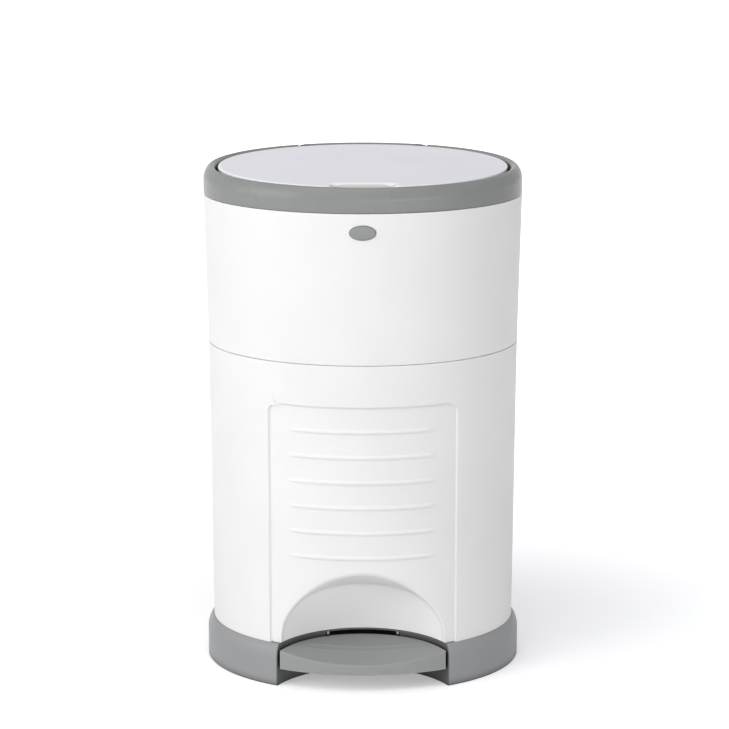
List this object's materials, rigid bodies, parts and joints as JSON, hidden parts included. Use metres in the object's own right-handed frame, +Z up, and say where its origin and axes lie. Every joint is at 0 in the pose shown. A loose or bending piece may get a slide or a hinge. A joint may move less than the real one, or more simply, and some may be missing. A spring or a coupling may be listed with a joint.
{
  "type": "nappy bin",
  "caption": "Oval hands-free nappy bin with a foot pedal that lifts the lid, a front door with ribs and a toe recess, and a tip-up collar over a liner refill.",
  "frame": {"origin": "bottom centre of the base, on the floor", "axes": "+X to the right seen from the front, +Y towards the back, +Z up"},
  "size_m": [0.313, 0.2505, 0.5021],
  "materials": {
    "white_plastic": "satin moulded polypropylene",
    "lid_plastic": "glossy moulded plastic",
    "base_grey": "satin moulded plastic",
    "collar_grey": "satin moulded plastic",
    "pedal_grey": "satin moulded plastic",
    "button_grey": "satin moulded plastic",
    "inner_plastic": "moulded plastic",
    "steel": "drawn wire and pin",
    "seal": "soft elastomer",
    "cassette": "thin moulded plastic",
    "film": "gathered film"
  },
  "bodies": {
    "housing": {"base": "base_grey", "lower_housing": "white_plastic", "upper_housing": "white_plastic", "door_hinge_pins": "steel", "door_strike": "steel", "pedal_pin": "steel", "pedal_spring": "steel", "rod_channel": "inner_plastic", "base_screws": "steel", "collar_hinge_pins": "steel", "button_spring": "steel", "button_bracket": "inner_plastic", "refill_holder": "inner_plastic", "refill_cassette": "cassette", "liner_film": "film"},
    "front_door": {"front_door": "white_plastic", "door_latch": "button_grey", "cutter_body": "button_grey", "cutter_blade": "steel"},
    "pedal": {"pedal": "pedal_grey"},
    "lift_rod": {"lift_rod": "inner_plastic"},
    "collar": {"collar": "collar_grey", "throat_funnel": "inner_plastic", "trap_pins": "steel", "trap_springs": "steel", "lid_pins": "steel"},
    "lid": {"lid": "lid_plastic", "lid_seal": "seal"},
    "left_trap_door": {"left_trap_door": "inner_plastic"},
    "right_trap_door": {"right_trap_door": "inner_plastic"},
    "release_button": {"release_button": "button_grey"}
  },
  "joints": [
    {"name": "pedal_press", "type": "hinge", "parent": "housing", "child": "pedal", "pos_m": [0, -0.02, 0.02], "axis": [1, 0, 0], "range_deg": [0, 7.5], "stiffness_Nm_per_rad": 6, "springref_deg": -8.59, "deforming": ["pedal_spring"]},
    {"name": "rod_lift", "type": "slide", "parent": "housing", "child": "lift_rod", "axis": [0, 0, 1], "range_m": [0, 0.015]},
    {"name": "lid_hinge", "type": "hinge", "parent": "collar", "child": "lid", "pos_m": [0, 0.106, 0.4988], "axis": [-1, 0, 0], "range_deg": [0, 80]},
    {"name": "left_trap_hinge", "type": "hinge", "parent": "collar", "child": "left_trap_door", "pos_m": [-0.07, -0.014, 0.4675], "axis": [0, 1, 0], "range_deg": [0, 72]},
    {"name": "right_trap_hinge", "type": "hinge", "parent": "collar", "child": "right_trap_door", "pos_m": [0.07, -0.014, 0.4675], "axis": [0, -1, 0], "range_deg": [0, 72]},
    {"name": "collar_hinge", "type": "hinge", "parent": "housing", "child": "collar", "pos_m": [0, 0.118, 0.47], "axis": [-1, 0, 0], "range_deg": [0, 75]},
    {"name": "door_hinge", "type": "hinge", "parent": "housing", "child": "front_door", "pos_m": [-0.0813, -0.09473, 0.16], "axis": [0, 0, -1], "range_deg": [0, 90]},
    {"name": "button_press", "type": "slide", "parent": "housing", "child": "release_button", "axis": [0, 1, 0], "range_m": [0, 0.003], "stiffness_N_per_m": 400, "springref_m": -0.004, "deforming": ["button_spring"]}
  ],
  "couplings": [
    {"joint": "rod_lift", "follows": "pedal_press", "m_per_rad": 0.11455},
    {"joint": "lid_hinge", "follows": "pedal_press", "ratio": 10.66},
    {"joint": "left_trap_hinge", "follows": "pedal_press", "ratio": 9.59},
    {"joint": "right_trap_hinge", "follows": "pedal_press", "ratio": 9.59}
  ]
}
